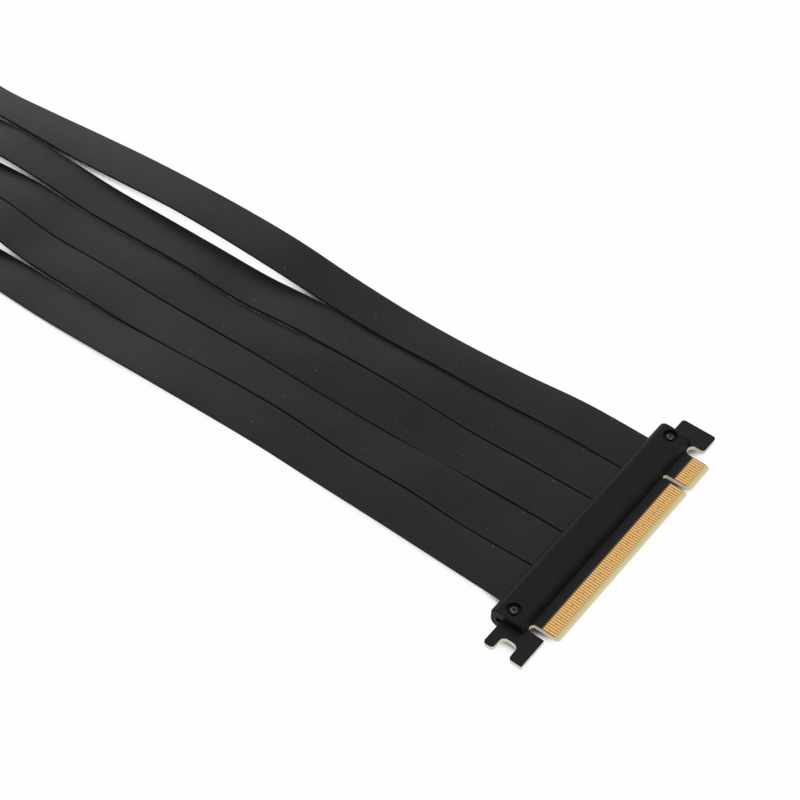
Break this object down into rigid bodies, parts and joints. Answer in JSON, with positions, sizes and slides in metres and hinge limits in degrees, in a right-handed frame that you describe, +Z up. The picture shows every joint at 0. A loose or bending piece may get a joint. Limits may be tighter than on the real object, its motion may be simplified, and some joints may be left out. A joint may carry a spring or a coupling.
{
  "type": "gpu riser cable",
  "caption": "Flexible riser cable for a graphics card: card-edge plug with hook and forked tail, flat black ribbons side by side, and a full-length expansion slot on a small board.",
  "frame": {"origin": "on the surface that the cable lies on, under the middle of the box round its two ends", "axes": "+X from the slot end to the plug's card edge, +Y along the card edge towards the hook, +Z up"},
  "size_m": [0.4522, 0.1116, 0.016],
  "materials": {
    "circuit_board": "black solder mask over glass-fibre board, satin",
    "shell": "black moulded plastic, fine matt grain",
    "seal": "cream hot-melt sealant",
    "screw": "nickel-plated steel",
    "ribbon": "smooth matt black flexible jacket",
    "slot_plastic": "black glass-filled plastic",
    "contact_gold": "gold plating over copper"
  },
  "bodies": {
    "root": {"plug_board": "circuit_board", "plug_upper_shell": "shell", "plug_lower_shell": "shell", "plug_seal_top": "seal", "plug_seal_bottom": "seal", "plug_screw_hook_side": "screw", "plug_screw_fork_side": "screw", "ribbon_1": "ribbon", "ribbon_2": "ribbon", "ribbon_3": "ribbon", "ribbon_4": "ribbon", "ribbon_5": "ribbon", "socket_board": "circuit_board", "slot_body": "slot_plastic", "socket_upper_shell": "shell", "socket_lower_shell": "shell", "socket_seal_top": "seal", "socket_seal_bottom": "seal", "socket_screw_1": "screw", "socket_screw_2": "screw"}
  },
  "joints": []
}
